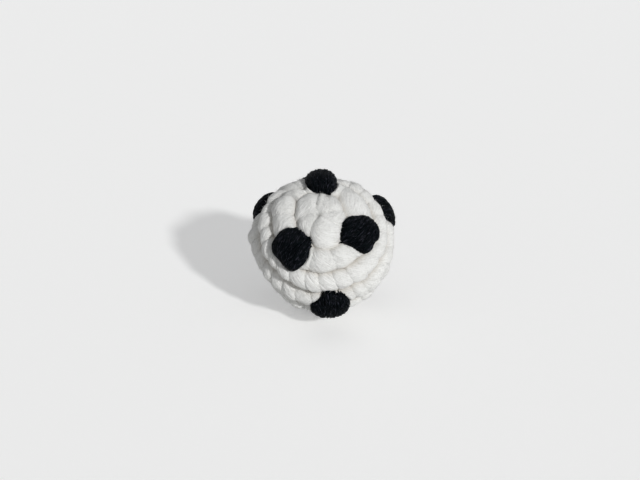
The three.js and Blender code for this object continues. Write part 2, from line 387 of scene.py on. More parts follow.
# A ply's section has a point in the groove, 0, and two towards its crest, 1.
PLY_PROFILE = np.array([0, 0.94, 0.94])
SAMPLES_PER_PLY = len(PLY_PROFILE)
PLIES_PER_SIDE = 1 / SAMPLES_PER_PLY
PLY_SLANT = math.radians(46)
PLY_GROOVE = 0.19 * MM
GROOVE_LEAST = 0.4
GROOVE_MOST = 1.5
PLY_WANDER = 0.42
PLY_WANDER_LENGTH = 3.4 * MM
PLY_SWELL = 0.4
PLY_SWELL_LENGTH = 0.55 * MM
PLY_SWELL_PHASES = 2.3
ROUND_SQUARENESS = 2
TAIL_RADIUS = 1.6 * MM
TAIL_PLIES = 12
TAIL_RINGS = 40
TAIL_SEED = 7


def twisted_yarn(line, outward, half_width, half_thickness, plies, groove, slant, squareness, rng):
    """Yarn along lines. At ring i and side j the point is the line's point, plus half the width times the
    cosine across, plus half the thickness times the sine outwards, each to a power that squares the section.
    The angle turns with the length so that the plies lie at the slant, each ply wanders a little beside its
    neighbours, and the surface sinks to a groove between them, deeper at some than at others. A ply also
    swells and thins along its length. Returns the points and each ring's length along the line."""
    tangent = unit(np.gradient(line, axis=1))
    across = unit(np.cross(tangent, outward))
    normal = np.cross(across, tangent)
    steps = np.linalg.norm(np.diff(line, axis=1), axis=-1)
    start = np.zeros((len(line), 1))
    length = np.concatenate([start, np.cumsum(steps, axis=1)], axis=1)
    girth = 2 * math.pi * np.sqrt((half_width**2 + half_thickness**2) / 2)
    step_turn = 2 * math.pi * math.tan(slant) / girth[:, 1:] * steps
    turn = np.concatenate([start, np.cumsum(step_turn, axis=1)], axis=1)

    side = np.arange(plies * SAMPLES_PER_PLY)
    ply, part = side // SAMPLES_PER_PLY, side % SAMPLES_PER_PLY / SAMPLES_PER_PLY
    phase = rng.uniform(0, 2 * math.pi, (len(line), 1, plies))
    shift = PLY_WANDER * np.sin(length[..., None] / PLY_WANDER_LENGTH + phase)
    shift = (1 - part) * shift[..., ply] + part * shift[..., (ply + 1) % plies]
    angle = 2 * math.pi * (side / SAMPLES_PER_PLY + shift) / plies + turn[..., None]

    nearest = np.round(side / SAMPLES_PER_PLY).astype(int) % plies
    depth = groove * rng.uniform(GROOVE_LEAST, GROOVE_MOST, (len(line), 1, plies))[..., nearest]
    swell = np.sin(length[..., None] / PLY_SWELL_LENGTH + PLY_SWELL_PHASES * phase)
    sink = (1 - np.tile(PLY_PROFILE, plies)) * depth + groove * PLY_SWELL * swell[..., nearest]

    cosine, sine = np.cos(angle), np.sin(angle)
    power = 2 / squareness
    wide = (half_width[..., None] - sink) * np.sign(cosine) * np.abs(cosine) ** power
    thick = (half_thickness[..., None] - sink) * np.sign(sine) * np.abs(sine) ** power
    points = line[:, :, None] + wide[..., None] * across[:, :, None] + thick[..., None] * normal[:, :, None]
    return points, length


# How a spun yarn's colour and relief are made up. The fibres' streaks count along a millimetre and across a
# ply, and slant over both. The shade of each kind of unevenness is its share of the way from light to dark.
FIBRES_ALONG = 0.9
FIBRES_ACROSS = 5
FIBRE_SLANT = 1.5
FIBRE_LEAN = 0.6
FIBRE_SHADE = 0.8
FIBRE_RELIEF = 0.7
CLOUD_SHADE = 0.5
TUFT_SHADE = 1.2
GROOVE_REACH = 0.24
GROOVE_RELIEF = 0.35
LIGHT_FROM = -0.15
DARK_FROM = 0.75
# Painted shade deep in the creases: where it starts and where it is full, in mm below the crown, and how
# strong.
CREASE_SHADE_FROM = 0.8
CREASE_SHADE_FULL = 4.2
CREASE_SHADE_SHARE = 0.35
CREASE_SHADE_CLOUD = 0.5
# Small dots: seed-coat bits in the white yarn, and painted highlights along the strands in the black.
FLECK_AND_GLINT_EDGE = 0.03
FLECK_AND_GLINT_STRENGTH = 0.75
FLECK_AND_GLINT_LAYER = 3.0
ROUGHNESS_CHANGE = 0.25


def yarn_paint(name, light, dark, crease_shade, fleck_and_glint, fleck_and_glint_share, fleck_and_glint_size, roughness, specular, groove_shade):
    """Spun yarn: a little darker in the grooves between plies, which is painted shade, uneven from place
    to place, streaked along the fibres, darker and browner deep in the creases, also painted shade,
    and with small dots in it: seed-coat bits in a white yarn, and painted highlights along the strands
    in a black one. A dot's size is its length in millimetres and its width in plies."""
    paint = Paint(name, Roughness=roughness, Specular_IOR_Level=specular)
    along, around, _ = paint.parts(paint.node("ShaderNodeTexCoord", output="UV"))
    place = paint.node("ShaderNodeTexCoord", output="Object")
    depth = paint.node("ShaderNodeAttribute", {"attribute_name": "depth"}, output="Fac")

    streak_x = along * FIBRES_ALONG + around * FIBRE_SLANT
    streak_y = around * FIBRES_ACROSS - along * FIBRE_LEAN
    fibres = paint.noise(paint.vector(streak_x, streak_y, 0.0), scale=1.0, detail=3.0, roughness=0.65)
    cloud = paint.noise(place, scale=180.0, detail=3.0, roughness=0.6)
    tufts = paint.noise(place, scale=1150.0, detail=2.0, roughness=0.6)
    # Painted shade in the grooves between plies and between black strands: darker by the groove shade.
    groove = paint.ramp(around.wave(), GROOVE_REACH, 0.0)
    uneven = fibres.centred() * FIBRE_SHADE + cloud.centred() * CLOUD_SHADE + tufts.centred() * TUFT_SHADE
    colour = paint.mix(paint.ramp(groove * groove_shade + uneven, LIGHT_FROM, DARK_FROM), light, dark)

    # Painted shade: darker and browner where the yarn lies deep below the crown, in the creases.
    deep = paint.ramp(depth, CREASE_SHADE_FROM, CREASE_SHADE_FULL)
    colour = paint.mix(deep * (CREASE_SHADE_SHARE + cloud * CREASE_SHADE_CLOUD), colour, crease_shade)
    fleck_and_glint_length, fleck_and_glint_width = fleck_and_glint_size
    # The small dots, which in the black yarn are painted highlights streaked along the strands.
    fleck_and_glint_place = paint.vector(along * (1 / fleck_and_glint_length), around * (1 / fleck_and_glint_width), FLECK_AND_GLINT_LAYER)
    fleck_and_glint_noise = paint.noise(fleck_and_glint_place, scale=1.0, detail=1.0)
    fleck_and_glint_mask = paint.ramp(fleck_and_glint_noise, fleck_and_glint_share, fleck_and_glint_share + FLECK_AND_GLINT_EDGE)
    paint.feed("Base Color", paint.mix(fleck_and_glint_mask * FLECK_AND_GLINT_STRENGTH, colour, fleck_and_glint))
    paint.feed("Roughness", roughness + fibres.centred() * ROUGHNESS_CHANGE)
    paint.emboss(fibres * FIBRE_RELIEF + tufts - groove * GROOVE_RELIEF, strength=0.7, distance=0.16 * MM)
    return paint.material


white_yarn = yarn_paint(
    "white_yarn",
    light=(0.9, 0.9, 0.88, 1),
    dark=(0.69, 0.685, 0.655, 1),
    # The colour of the painted shade deep in the creases, a warm grey-brown.
    crease_shade=(0.5, 0.45, 0.38, 1),
    fleck_and_glint=(0.45, 0.36, 0.26, 1),
    fleck_and_glint_share=0.78,
    fleck_and_glint_size=(0.9, 0.6),
    roughness=0.9,
    specular=0.2,
    groove_shade=0.3,
)


def yarn_end(name, pole, node, rng):
    """A round length of the white yarn down one channel."""
    line = tail_path(pole, np.linspace(0, TAIL_LENGTH, TAIL_RINGS))[None]
    beside = np.zeros_like(line) + pole[2]
    radius = np.full((1, TAIL_RINGS), TAIL_RADIUS)
    points, length = twisted_yarn(
        line, beside, radius, radius, TAIL_PLIES, PLY_GROOVE, PLY_SLANT, ROUND_SQUARENESS, rng
    )
    tail = Shells()
    tail.add_tubes(points, length, PLIES_PER_SIDE)
    made = tail.make(name, white_yarn)
    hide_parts(node)


tail_rng = np.random.default_rng(TAIL_SEED)
yarn_end("start_yarn_end", POLE, "starting_tail", tail_rng)
yarn_end("closing_yarn_end", ANTIPOLE, "closing_tail", tail_rng)


# The white cover. It is one tube of chunky cotton yarn worked in eight rounds about a tilted pole, opened
# and closed at the poles. Each fat leg of a stitch comes up out of one crease and goes down into the next.
# The stitches sink where a patch is sewn over them: an oval with five soft corners, domed up from its rim.

PATCH_RISE = 3 * MM
RIM_RADIUS = CROWN_RADIUS - 0.6 * MM
SEAT_RADIUS = CROWN_RADIUS - 3.2 * MM
CORNERS = 5
OUTLINE_STEP = 15
DOME_FLATNESS = 2.4
DOME_EDGE = 0.6


def five_corners(length, width, turn, corner, corner_rise=0.4):
    """An outline in millimetres, at even azimuths: the distance of an oval whose length lies at the turn,
    plus a cosine with five crests, one of them at the corner."""
    azimuth = np.arange(0, 360, OUTLINE_STEP)
    turned, cornered = np.radians(azimuth - turn), np.radians(CORNERS * (azimuth - corner))
    oval = 0.5 / np.hypot(np.cos(turned) / length, np.sin(turned) / width)
    return list(zip(azimuth, oval + corner_rise * np.cos(cornered)))


class Patch:
    """The place and outline of one patch: the middle's longitude and latitude, and the rim's distance from
    it in millimetres at some azimuths, turned from east towards north. The strands run at the lay, and fan
    out by the fan from one side to the other. It rises by taller times the common rise."""

    def __init__(self, name, place, outline, lay, fan, taller=1):
        self.name, self.spot, self.taller = name, frame_at(*place), taller
        self.lay, self.fan = math.radians(lay), math.radians(fan)
        azimuth, distance = np.array(outline, float).T
        self.azimuth = np.radians(np.concatenate([azimuth[-2:] - 360, azimuth, azimuth[:3] + 360]))
        self.distance = np.concatenate([distance[-2:], distance, distance[:3]]) * MM
        self.reach = distance.max() * MM

    def rim(self, azimuth):
        """The outline's distance along the ball: a cubic between each two given ones, with the slope at each
        taken from its neighbours."""
        known, distance = self.azimuth, self.distance
        azimuth = (azimuth - known[1]) % (2 * math.pi) + known[1]
        slope = np.gradient(distance, known)
        after = np.clip(np.searchsorted(known, azimuth, side="right"), 1, len(known) - 1)
        before = after - 1
        width = known[after] - known[before]
        part = (azimuth - known[before]) / width
        rise = part**2 * (3 - 2 * part)
        lead = part * (1 - part) ** 2 * width * slope[before] - part**2 * (1 - part) * width * slope[after]
        return distance[before] + (distance[after] - distance[before]) * rise + lead

    def dome(self, share):
        """The top's radius: the rim's, plus the rise times one less the share's power, to a power."""
        rise = CROWN_RADIUS + PATCH_RISE * self.taller - RIM_RADIUS
        return RIM_RADIUS + rise * (1 - np.clip(share, 0, 1) ** DOME_FLATNESS) ** DOME_EDGE

    def share(self, direction):
        """How far out a direction lies, as a share of the way from the patch's middle to its rim."""
        out, east, north = self.spot
        away = np.arccos(np.clip(direction @ out, -1, 1)) * CROWN_RADIUS
        return away / self.rim(np.arctan2(direction @ north, direction @ east))


FRONT_LEFT = [
    (0, 7.8), (30, 8.8), (60, 8.7), (120, 8.9), (150, 8.6), (190, 8.9),
    (215, 7.5), (238, 6.9), (262, 8.1), (280, 8.9), (310, 7.9), (340, 7.7),
]
FRONT_RIGHT = [
    (10, 9.5), (30, 9.3), (60, 8.6), (88, 8.2), (110, 9.1), (150, 9.2), (185, 9.2),
    (207, 6.9), (235, 6.8), (262, 7.6), (285, 7.4), (314, 6.4), (335, 8.3), (352, 9.2),
]
TOP = [
    (0, 8.7), (18, 9.1), (35, 9.1), (60, 7.7), (90, 6.8), (120, 7.6), (150, 9.2),
    (180, 9.6), (205, 9.2), (225, 8.4), (240, 7.6), (270, 6.6), (300, 6.7), (330, 7.9),
]
LOWER_FRONT = [
    (0, 8), (20, 7.7), (45, 7.7), (58, 7.7), (72, 7.5), (88, 7.9), (103, 10.2), (117, 8.3),
    (135, 7.1), (160, 7), (190, 8.5), (210, 9.2), (240, 9), (270, 8.8), (300, 8.9), (330, 8.6),
]
patches = [
    Patch("front_left", (-26.6, 17.9), FRONT_LEFT, lay=60, fan=8),
    Patch("front_right", (37.8, 27.4), FRONT_RIGHT, lay=20, fan=-14),
    Patch("top", (-90, 88.9), TOP, lay=172, fan=16, taller=1.3),
    Patch("lower_front", (8.8, -35.5), LOWER_FRONT, lay=98, fan=-10, taller=1.35),
    Patch("left", (-113.8, 23.7), five_corners(16.5, 15.1, 60, 60), lay=80, fan=8, taller=0.88),
    Patch("right", (108.6, 21.9), five_corners(17.8, 15.1, 110, 20), lay=100, fan=10, taller=0.98),
    Patch("foot", (0, -90), five_corners(16.5, 15.3, 20, 20), lay=15, fan=8),
    Patch("rear_right", (151, -1.2), five_corners(16.5, 15.1, 35, 50, 0.5), lay=120, fan=-8),
    Patch("lower_left", (-115.5, -30.2), five_corners(16, 14.7, 80, 0), lay=50, fan=10, taller=0.9),
    Patch("lower_right", (111.4, -37.3), five_corners(16.2, 14.8, 140, 30, 0.5), lay=20, fan=8, taller=0.9),
    Patch("upper_rear", (-170.8, 33), five_corners(17, 15.1, 15, 90, 0.55), lay=75, fan=-10, taller=1.1),
    Patch("lower_rear", (-172, -35.9), five_corners(16.3, 15, 120, 70), lay=140, fan=8),
]

CREASE_UNEVEN = 0.13
LEG_LEAN = 0.4


def even_creases(count, first, seed):
    """Creases at nearly even azimuths. A leg leans, so a crease ends a part of the pitch further round."""
    pitch = 360 / count
    uneven = np.random.default_rng(seed).uniform(-CREASE_UNEVEN, CREASE_UNEVEN, count)
    starts = first + pitch * (np.arange(count) + uneven)
    return np.stack([starts - pitch * LEG_LEAN / 2, starts + pitch * LEG_LEAN / 2], axis=1)


# The rounds from the starting pole to the closing pole: the height along the ball, and the azimuth of each
# crease between the legs that show, at its start and its end, in degrees. A leg is wider than its own share
# of the round by the spread. Its ends reach past the round's creases by the tuck, or stop short of them if
# that is negative. Near the poles a stitch's two legs show as one, and they lie in a whorl.
POLAR = dict(thickness=7.2 * MM, spread=1.34, plies=62, tuck=0.7 * MM)
BROAD = dict(thickness=7.2 * MM, spread=1.36, plies=66, tuck=0)
SLIM = dict(thickness=6.4 * MM, spread=1.28, plies=32, tuck=-0.7 * MM)
ROUNDS = [
    dict(POLAR, height=13, creases=[(15, 24), (95, 78), (99, 82), (150, 205), (228, 259), (330, 333)]),
    dict(BROAD, height=12.8, creases=[
        (8, 10), (60, 58), (90, 90), (116, 118), (140, 142), (171, 172),
        (204, 204), (232, 232), (262, 258), (290, 292), (315, 318), (342, 342),
    ]),
    dict(SLIM, height=10.5, creases=even_creases(24, 2.5, 71)),
    dict(SLIM, height=11.2, creases=even_creases(28, 6, 72)),
    dict(SLIM, height=11.2, creases=even_creases(28, 0, 73)),
    dict(SLIM, height=10.7, creases=even_creases(24, 7, 74)),
    dict(BROAD, height=11.5, creases=even_creases(12, 11, 75)),
    dict(POLAR, height=13, creases=[(15, 35), (80, 88), (140, 160), (200, 221), (258, 280), (320, 338)]),
]
WHOLE_HEIGHT = sum(spec["height"] for spec in ROUNDS)

# Where the crease after so many rounds wanders from its even circle: azimuth and angle added, in degrees. It
# is averaged a few degrees to either side.
CREASE_WANDER = {
    1: [(0, -2), (25, -2), (47, 0), (62, 3), (75, 2), (98, 3), (110, 5), (134, 6), (148, 1), (165, -2),
        (185, -3), (205, -4), (235, -4), (250, -1), (266, 3), (302, 5), (325, 3)],
    2: [(3, 6), (17, 4), (27, 3), (48, 1), (57, 2), (66, -2), (80, -7), (100, -13), (118, -14), (126, -11),
        (133, -4), (141, 2), (148, 4), (163, 1), (174, -3), (189, -5), (210, -4), (225, -1), (285, -1),
        (330, 1)],
    3: [(5, 3), (17, 4), (60, 1), (120, 0), (180, -3), (193, -6), (203, -4), (217, -6), (227, -7), (237, -5),
        (246, -4), (255, -2), (265, 0), (280, 0), (295, 1), (302, -1), (309, 2), (318, 4), (326, 3),
        (332, 1), (340, 3), (346, 4), (356, 5)],
    4: [(0, 1), (40, -2), (90, 1), (150, -1), (200, 2), (240, -1), (300, 5), (320, 7), (335, 7)],
    5: [(0, -1), (50, 2), (110, -2), (170, 1), (230, -1), (290, 2), (330, 0)],
    6: [(0, 2), (70, -1), (140, 2), (210, -2), (280, 1)],
    7: [(0, 1), (90, -2), (180, 2), (260, -1)],
}
WANDER_ASIDE = (-5, -2, 2, 5)

LEG_RINGS = 33
LEG_SQUARENESS = 2.35
LEG_ARCH = 2.1
LEG_LEAST_HALF_WIDTH = 2.6 * MM
LEG_WIDTH_SOFTNESS = 1 * MM
LEG_END_WIDTH = 0.75
LEG_END_THICKNESS = 0.3
VALLEY_DEPTH = 5.6 * MM
POLE_DEPTH = 2 * MM
POLE_CROWDING = 0.07
UP = np.array([0, 0, 1])

# How unevenly the legs are pulled: aside and into a sway, both in pitches, then in height and in width.
LEG_ASIDE = 0.05
LEG_SWAY = 0.05
LEG_TOP_UNEVEN = 0.22 * MM
LEG_WIDTH_UNEVEN = 0.04
COVER_SEED = 40

# On the side about this azimuth the legs lie closer, with a wider spread and a softer arch.
CALM_AZIMUTH = math.radians(-15)
CALM_FOCUS = 1.2
CALM_SPREAD = 0.22
CALM_ARCH = 0.4

BACK_RADIUS = CROWN_RADIUS - 5.8 * MM
BACK_HALF_THICKNESS = 1.5 * MM
BACK_SPREAD = 1.6
BACK_EXTRA = 0.6 * MM
BACK_PLIES = 6
BACK_STEP = 4

# The hand-made unevenness of the whole cover: how high and how wide each size of swell is, and its seed.
SWELLS = [(0.45 * MM, 13 * MM, 11), (0.22 * MM, 4.5 * MM, 12), (0.09 * MM, 1.5 * MM, 13)]
PATCH_PRESS = 1.1 * MM
PATCH_NEAR_COSINE = 0.85
PINCH_RADIUS = CROWN_RADIUS - 1.9 * MM
PINCH_REACH = 0.22
PINCH_CLIMB = 8 * MM
PINCH_SOFTNESS = 0.25 * MM
FREE_RADIUS = CROWN_RADIUS + 1.5 * MM
NO_CEILING = 1


def crease_angle(place, azimuth):
    """The angle from the pole of the crease after so many rounds, at each azimuth."""
    even = math.pi * sum(spec["height"] for spec in ROUNDS[:place]) / WHOLE_HEIGHT
    if place not in CREASE_WANDER:
        return even + 0 * azimuth
    known, added = np.array(CREASE_WANDER[place], float).T
    around = np.degrees(azimuth)
    wander = sum(np.interp((around + aside) % 360, known, added, period=360) for aside in WANDER_ASIDE)
    return even + np.radians(wander / len(WANDER_ASIDE))


def round_edges(place, azimuth):
    """The angles from the pole at which a round starts and ends, at each azimuth."""
    start = crease_angle(place, azimuth) if place else 0 * azimuth
    end = crease_angle(place + 1, azimuth) if place < len(ROUNDS) - 1 else math.pi + 0 * azimuth
    return start, end


def soft_floor(value, limit, softness):
    """The larger of a value and a limit, with the corner between them rounded off."""
    gap = value - limit
    return limit + (gap + np.sqrt(gap**2 + softness**2)) / 2


def patch_ceiling(patch, share):
    """The radius that yarn may reach near a patch: below its underside within the rim, pinched in at the
    rim, rising to the free radius at the pinch's reach, and without a limit past that."""
    underside = patch.dome(np.minimum(share, 1)) - PATCH_PRESS
    under = np.minimum(underside, PINCH_RADIUS + (1 - share) * PINCH_CLIMB)
    beside = np.clip((share - 1) / PINCH_REACH, 0, 1)
    free = PINCH_RADIUS + (FREE_RADIUS - PINCH_RADIUS) * beside
    return np.where(beside >= 1, NO_CEILING, np.where(share < 1, under, free))


def settle(points):
    """Hand-made unevenness, and the press of the patches: points above a patch's ceiling come down to it."""
    offset = points - BALL_CENTRE
    direction = unit(offset)
    shape = form_share(direction)
    radius = np.linalg.norm(offset, axis=-1) / shape
    for height, size, seed in SWELLS:
        radius = radius + height * smooth_noise(points, size, seed)
    for patch in patches:
        near = direction @ patch.spot[0] > PATCH_NEAR_COSINE
        ceiling = patch_ceiling(patch, patch.share(direction[near]))
        radius[near] = -soft_floor(-radius[near], -ceiling, PINCH_SOFTNESS)
    return BALL_CENTRE + direction * (radius * shape)[..., None]


def wrapped(flat, place, azimuth):
    """Legs that were laid out flat, wrapped onto the ball: x goes back along the round from the leg's middle
    azimuth, y is the way from the pole, which is stretched to lie between the round's creases at each
    point's own azimuth, and z is the radius. Close to a pole the legs crowd together."""
    x, y, z = np.moveaxis(flat, -1, 0)
    angle = y / CROWN_RADIUS
    start, end = round_edges(place, azimuth)
    share = (angle - start[..., None]) / (end - start)[..., None]
    own_azimuth = azimuth[..., None] - x / CROWN_RADIUS / np.maximum(np.sin(angle), POLE_CROWDING)
    own_start, own_end = round_edges(place, own_azimuth)
    return on_ball(turned_away(POLE, own_start + share * (own_end - own_start), own_azimuth), z)


def laid_yarn(place, azimuth, angle, radius, half_width, half_thickness, plies, slant, rng):
    """Lengths of twisted yarn for a round, laid out flat along their angles from the pole and wrapped."""
    line = np.stack([0 * angle, angle * CROWN_RADIUS, radius + 0 * angle], axis=-1)
    flat, length = twisted_yarn(
        line, UP + 0 * line, half_width, half_thickness + 0 * angle, plies, PLY_GROOVE, slant,
        LEG_SQUARENESS, rng
    )
    return wrapped(flat, place, azimuth), length


def cover_round(place):
    """One round. Each leg is a length of twisted yarn whose line rises from crease to crease on an arch,
    wide enough to press into its neighbours. The back of the stitch is a flatter length behind it."""
    spec = ROUNDS[place]
    rng = np.random.default_rng(COVER_SEED + place)
    first, last = np.radians(spec["creases"]).T[..., None]
    one_each = (len(first), 1)
    along = np.linspace(-1, 1, LEG_RINGS)[None]
    crease = first + (last - first) * (along + 1) / 2
    pitch = (np.roll(crease, -1, axis=0) - crease) % (2 * math.pi)
    middle = crease + pitch * (0.5 + rng.uniform(-LEG_ASIDE, LEG_ASIDE, one_each))
    azimuth = middle + pitch * LEG_SWAY * rng.normal(size=one_each) * np.sin(math.pi * along)
    start, end = round_edges(place, azimuth)
    angle = (start + end) / 2 + ((end - start) / 2 + spec["tuck"] / CROWN_RADIUS) * along

    calm = np.exp(CALM_FOCUS * (np.cos(azimuth - CALM_AZIMUTH) - 1))
    power = LEG_ARCH - CALM_ARCH * calm
    arch = (1 - np.abs(along) ** power) ** (1 / power)
    half_thickness = spec["thickness"] / 2 * (LEG_END_THICKNESS + (1 - LEG_END_THICKNESS) * arch)
    at_pole = (along < 0) & (place == 0) | (along > 0) & (place == len(ROUNDS) - 1)
    fall = np.where(at_pole, POLE_DEPTH, VALLEY_DEPTH) * (1 - arch)
    top = CROWN_RADIUS - fall + rng.normal(size=one_each) * LEG_TOP_UNEVEN

    half_pitch = pitch * np.abs(np.sin(angle)) * CROWN_RADIUS / 2
    spread = spec["spread"] * (1 + CALM_SPREAD * calm)
    half_width = soft_floor(half_pitch * spread, LEG_LEAST_HALF_WIDTH, LEG_WIDTH_SOFTNESS)
    half_width = half_width * (LEG_END_WIDTH + (1 - LEG_END_WIDTH) * arch)
    half_width = half_width * (1 + rng.normal(size=one_each) * LEG_WIDTH_UNEVEN)

    yarn = Shells()
    points, length = laid_yarn(
        place, azimuth, angle, top - half_thickness, half_width, half_thickness,
        spec["plies"], PLY_SLANT, rng
    )
    yarn.add_tubes(points, length, PLIES_PER_SIDE)
    azimuth, angle, half_pitch = azimuth[:, ::BACK_STEP], angle[:, ::BACK_STEP], half_pitch[:, ::BACK_STEP]
    points, length = laid_yarn(
        place, azimuth, angle, BACK_RADIUS, half_pitch * BACK_SPREAD + BACK_EXTRA, BACK_HALF_THICKNESS,
        BACK_PLIES, 0, rng
    )
    yarn.add_tubes(points, length, PLIES_PER_SIDE)
    made = yarn.make(f"cover_round_{place + 1}", white_yarn, settle)
    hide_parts(f"yarn_round_{place + 1}")
    return made


cover = [cover_round(place) for place in range(len(ROUNDS))]


# The black patches. Each is a thick bundle of fine black strands, laid side by side over the stitches and
# sewn down into them at both ends, so that it domes and its rim is drawn in. A few strands ride up and cross
# the others.

STRAND_SPACING = 0.6 * MM
STRAND_HALF_WIDTH = 0.42 * MM
STRAND_HALF_THICKNESS = 0.42 * MM
STRAND_RINGS = 30
STRAND_PLIES = 2
STRAND_SLANT = math.radians(20)
STRAND_GROOVE = 0.1 * MM
STRAND_SEED = 90

# A strand's ends are found among trial points along it, and a strand with few of them inside is left out.
TRIAL_REACH = 1.25
TRIAL_POINTS = 401
FEWEST_INSIDE = 12

# How unevenly the strands lie: across, in heading, in height, at their ends, and in their sway.
STRAND_ASIDE = 0.06 * MM
STRAND_ASTRAY = 0.025
STRAND_UNEVEN = 0.08 * MM
STRAND_END_UNEVEN = 0.4 * MM
SWAY = 0.1 * MM
SWAY_WAVES = 3
SWAY_PHASES = 6

# The last part of a strand goes down to the seat, and it thins towards its ends.
SUNK_FROM = 0.985
SUNK_OVER = 0.015
END_THINNING = 0.25
END_THINNING_POWER = 6

# The strands stand closer together towards both sides of the patch.
STRANDED_SHARE = 0.97
STRANDED_TURN = 1.42

LOOSE_STRANDS = 12
LOOSE_SHARE = 0.85
LOOSE_ASTRAY = 0.12
LOOSE_LEAST_LIFT = 0.05
LOOSE_MOST_LIFT = 0.25

CORE_SIDES = 48
CORE_RINGS = 14
CORE_MIDDLE = 0.02
CORE_BELOW = 0.75 * MM
CORE_MAP_LENGTH = 8 * MM
FLOOR_CLEAR = 0.02 * MM
FLOOR_SOFTNESS = 0.1 * MM


def press_on_floor(points):
    """The foot patch is pressed flat where it rests."""
    points = points.copy()
    points[:, 2] = soft_floor(points[:, 2], FLOOR_CLEAR, FLOOR_SOFTNESS)
    return points


def strand_place(patch, travel, across, heading):
    """The distance and azimuth from the patch's middle, so far along a heading and so far across the lay."""
    east = travel * np.cos(heading) - across * math.sin(patch.lay)
    north = travel * np.sin(heading) + across * math.cos(patch.lay)
    return np.hypot(east, north), np.arctan2(north, east)


def strands_over(patch, offset, heading, lift, rng):
    """Strands over the dome: each follows a straight line across the outline, at the dome's radius, and its
    ends go down into the yarn, some a little before the rim and some past it."""
    across, heading, lift = offset[:, None], heading[:, None], lift[:, None]
    trial = np.linspace(-TRIAL_REACH, TRIAL_REACH, TRIAL_POINTS) * patch.reach
    away, azimuth = strand_place(patch, trial, across, heading)
    inside = away < patch.rim(azimuth)
    usable = inside.sum(axis=1) > FEWEST_INSIDE
    inside, across, heading, lift = inside[usable], across[usable], heading[usable], lift[usable]
    first = trial[inside.argmax(axis=1)] + rng.normal(size=len(inside)) * STRAND_END_UNEVEN
    last = trial[TRIAL_POINTS - 1 - inside[:, ::-1].argmax(axis=1)]
    last = last + rng.normal(size=len(inside)) * STRAND_END_UNEVEN

    sweep = np.sin(np.linspace(-0.5, 0.5, STRAND_RINGS) * math.pi)[None]
    travel = (first + last)[:, None] / 2 + (last - first)[:, None] / 2 * sweep
    across = across + SWAY * np.sin(sweep * SWAY_WAVES + rng.uniform(0, SWAY_PHASES, (len(across), 1)))
    away, azimuth = strand_place(patch, travel, across, heading)
    radius = patch.dome(away / patch.rim(azimuth)) - STRAND_HALF_THICKNESS + lift
    sunk = np.clip((np.abs(sweep) - SUNK_FROM) / SUNK_OVER, 0, 1)
    radius = radius - sunk * (radius - SEAT_RADIUS)
    direction = turned_away(patch.spot, away / CROWN_RADIUS, azimuth)
    thin = 1 - END_THINNING * np.abs(sweep) ** END_THINNING_POWER + 0 * radius
    return twisted_yarn(
        on_ball(direction, radius), direction, STRAND_HALF_WIDTH * thin, STRAND_HALF_THICKNESS * thin,
        STRAND_PLIES, STRAND_GROOVE, STRAND_SLANT, ROUND_SQUARENESS, rng
    )


def patch_core(patch):
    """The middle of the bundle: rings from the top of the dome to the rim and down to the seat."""
    azimuth = np.linspace(0, 2 * math.pi, CORE_SIDES, endpoint=False)
    shares = np.concatenate([np.linspace(CORE_MIDDLE, 1, CORE_RINGS), [1, CORE_MIDDLE]])
    radii = np.concatenate([patch.dome(shares[:-2]) - CORE_BELOW, [SEAT_RADIUS, SEAT_RADIUS]])
    away = shares[:, None] * patch.rim(azimuth) / CROWN_RADIUS
    points = on_ball(turned_away(patch.spot, away, azimuth + 0 * away), radii[:, None] + 0 * away)
    return points[None], (shares * CORE_MAP_LENGTH)[None]


def black_patch(patch, material, seed):
    """One patch: its core, the strands side by side over it, and the loose strands over them."""
    rng = np.random.default_rng(seed)
    reach = STRANDED_SHARE * patch.reach
    count = int(round(math.pi * reach / STRAND_SPACING))
    offset = reach * np.sin(np.linspace(-STRANDED_TURN, STRANDED_TURN, count))
    offset = offset + rng.normal(size=count) * STRAND_ASIDE
    heading = patch.lay + patch.fan * offset / reach + rng.normal(size=count) * STRAND_ASTRAY
    lift = rng.normal(size=count) * STRAND_UNEVEN
    loose_offset = reach * rng.uniform(-LOOSE_SHARE, LOOSE_SHARE, LOOSE_STRANDS)
    loose_astray = rng.normal(size=LOOSE_STRANDS) * LOOSE_ASTRAY
    loose_heading = patch.lay + patch.fan * loose_offset / reach + loose_astray
    loose_lift = rng.uniform(LOOSE_LEAST_LIFT, LOOSE_MOST_LIFT, LOOSE_STRANDS) * MM
    bundle = Shells()
    bundle.add_tubes(*patch_core(patch))
    bundle.add_tubes(*strands_over(patch, offset, heading, lift, rng), PLIES_PER_SIDE)
    bundle.add_tubes(*strands_over(patch, loose_offset, loose_heading, loose_lift, rng), PLIES_PER_SIDE)
    reshape = press_on_floor if patch.name == "foot" else None
    made = bundle.make(f"black_patch_{patch.name}", material, reshape)
    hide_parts(f"patch_{patch.name}")
    return made


black_yarn = yarn_paint(
    "black_yarn",
    light=(0.0034, 0.0054, 0.007, 1),
    dark=(0.0006, 0.0007, 0.0012, 1),
    # The colour of the painted shade deep in the creases.
    crease_shade=(0.0005, 0.0006, 0.001, 1),
    # Its small dots are painted highlights: lighter streaks along the strands.
    fleck_and_glint=(0.06, 0.06, 0.08, 1),
    fleck_and_glint_share=0.62,
    fleck_and_glint_size=(3.2, 0.3),
    roughness=0.4,
    specular=0.025,
    groove_shade=0.9,
)
black_patches = [
    black_patch(patch, black_yarn, STRAND_SEED + number) for number, patch in enumerate(patches)
]


# The fuzz. Spun yarn sheds short loose fibres all over; each is a fine tapered hair that is rooted in the
# surface, rises a little and lies over to one side.

HAIR_RINGS = 4
HAIR_SIDES = 3
HAIR_RADIUS = 0.035 * MM
HAIR_TAPER = 0.85
HAIR_SHORTEST = 0.4
HAIR_LEAST_RISE = 0.15
HAIR_MOST_RISE = 0.6
HAIR_CURL = 0.35
ROOT_BELOW = 0.05 * MM
LOWEST_ROOT = 2 * MM
LEAST_OUTWARD = 0.3

